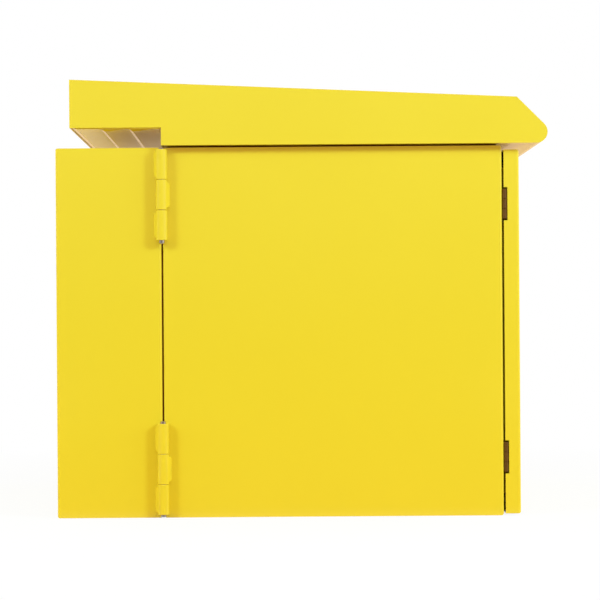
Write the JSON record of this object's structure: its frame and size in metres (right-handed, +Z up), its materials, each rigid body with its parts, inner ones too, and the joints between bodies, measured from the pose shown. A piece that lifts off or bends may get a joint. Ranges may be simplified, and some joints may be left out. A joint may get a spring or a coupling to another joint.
{
  "type": "wall-mount rack enclosure",
  "caption": "Wall-mount rack enclosure: rear box on the wall, swing-out centre section with rack rails, front door with cam latches and a sloped rain hood over the top.",
  "frame": {"origin": "centre of the rear box's back face, in the wall's plane, at the middle of the wall bolt pattern", "axes": "+X to the right as seen from the front, +Y into the wall, +Z up; the front door faces -Y"},
  "size_m": [0.6364, 0.6071, 0.5405],
  "materials": {
    "yellow_powder_coat": "semi-gloss yellow powder coat on steel sheet",
    "black_seal": "matt black closed-cell foam rubber",
    "zinc_steel": "bright zinc-plated steel",
    "bare_pin_steel": "bare steel pin",
    "dark_hinge_steel": "dark oxide steel",
    "brass": "plain brass",
    "black_nylon": "matt black nylon"
  },
  "bodies": {
    "rear_section": {"rear_box": "yellow_powder_coat", "rear_gasket": "black_seal", "upper_mounting_strap": "zinc_steel", "lower_mounting_strap": "zinc_steel", "upper_hinge_outer_knuckles": "yellow_powder_coat", "lower_hinge_outer_knuckles": "yellow_powder_coat", "upper_hinge_pin": "bare_pin_steel", "lower_hinge_pin": "bare_pin_steel", "earth_stud": "brass", "earth_nuts": "brass"},
    "centre_section": {"body_shell": "yellow_powder_coat", "upper_hinge_centre_knuckle": "yellow_powder_coat", "lower_hinge_centre_knuckle": "yellow_powder_coat", "roof_hood": "yellow_powder_coat", "soffit_panel": "yellow_powder_coat", "roof_gasket": "black_seal", "roof_screws": "zinc_steel", "roof_weld_nuts": "zinc_steel", "upper_left_rail_support": "zinc_steel", "lower_left_rail_support": "zinc_steel", "upper_right_rail_support": "zinc_steel", "lower_right_rail_support": "zinc_steel", "front_left_rack_rail": "zinc_steel", "front_right_rack_rail": "zinc_steel", "rear_left_rack_rail": "zinc_steel", "rear_right_rack_rail": "zinc_steel", "rail_bolts": "zinc_steel", "rail_nuts": "zinc_steel", "upper_door_hinge_frame_leaf": "dark_hinge_steel", "lower_door_hinge_frame_leaf": "dark_hinge_steel", "upper_door_hinge_pin": "dark_hinge_steel", "lower_door_hinge_pin": "dark_hinge_steel", "upper_section_latch_bush": "black_nylon", "lower_section_latch_bush": "black_nylon"},
    "front_door": {"door_panel": "yellow_powder_coat", "door_gasket": "black_seal", "door_stiffener": "yellow_powder_coat", "upper_door_hinge_door_leaf": "dark_hinge_steel", "lower_door_hinge_door_leaf": "dark_hinge_steel", "upper_door_latch_housing": "zinc_steel", "lower_door_latch_housing": "zinc_steel", "upper_door_latch_nut": "zinc_steel", "lower_door_latch_nut": "zinc_steel"},
    "upper_door_latch": {"upper_door_latch_insert": "zinc_steel", "upper_door_latch_cam": "zinc_steel", "upper_door_latch_screw": "zinc_steel"},
    "lower_door_latch": {"lower_door_latch_insert": "zinc_steel", "lower_door_latch_cam": "zinc_steel", "lower_door_latch_screw": "zinc_steel"},
    "upper_section_latch": {"upper_section_latch_knob": "black_nylon", "upper_section_latch_cam": "zinc_steel", "upper_section_latch_screw": "zinc_steel"},
    "lower_section_latch": {"lower_section_latch_knob": "black_nylon", "lower_section_latch_cam": "zinc_steel", "lower_section_latch_screw": "zinc_steel"}
  },
  "joints": [
    {"name": "section_swing", "type": "hinge", "parent": "rear_section", "child": "centre_section", "pos_m": [-0.3124, -0.1314, 0], "axis": [0, 0, -1], "range_deg": [0, 100]},
    {"name": "door_swing", "type": "hinge", "parent": "centre_section", "child": "front_door", "pos_m": [-0.3018, -0.5551, 0], "axis": [0, 0, -1], "range_deg": [0, 110]},
    {"name": "upper_door_latch_turn", "type": "hinge", "parent": "front_door", "child": "upper_door_latch", "pos_m": [0.249, -0.573, 0.1305], "axis": [0, -1, 0], "range_deg": [0, 90]},
    {"name": "lower_door_latch_turn", "type": "hinge", "parent": "front_door", "child": "lower_door_latch", "pos_m": [0.249, -0.573, -0.1305], "axis": [0, -1, 0], "range_deg": [0, 90]},
    {"name": "upper_section_latch_turn", "type": "hinge", "parent": "centre_section", "child": "upper_section_latch", "pos_m": [0.265, -0.1324, 0.1305], "axis": [0, -1, 0], "range_deg": [0, 90]},
    {"name": "lower_section_latch_turn", "type": "hinge", "parent": "centre_section", "child": "lower_section_latch", "pos_m": [0.265, -0.1324, -0.1305], "axis": [0, -1, 0], "range_deg": [0, 90]}
  ]
}
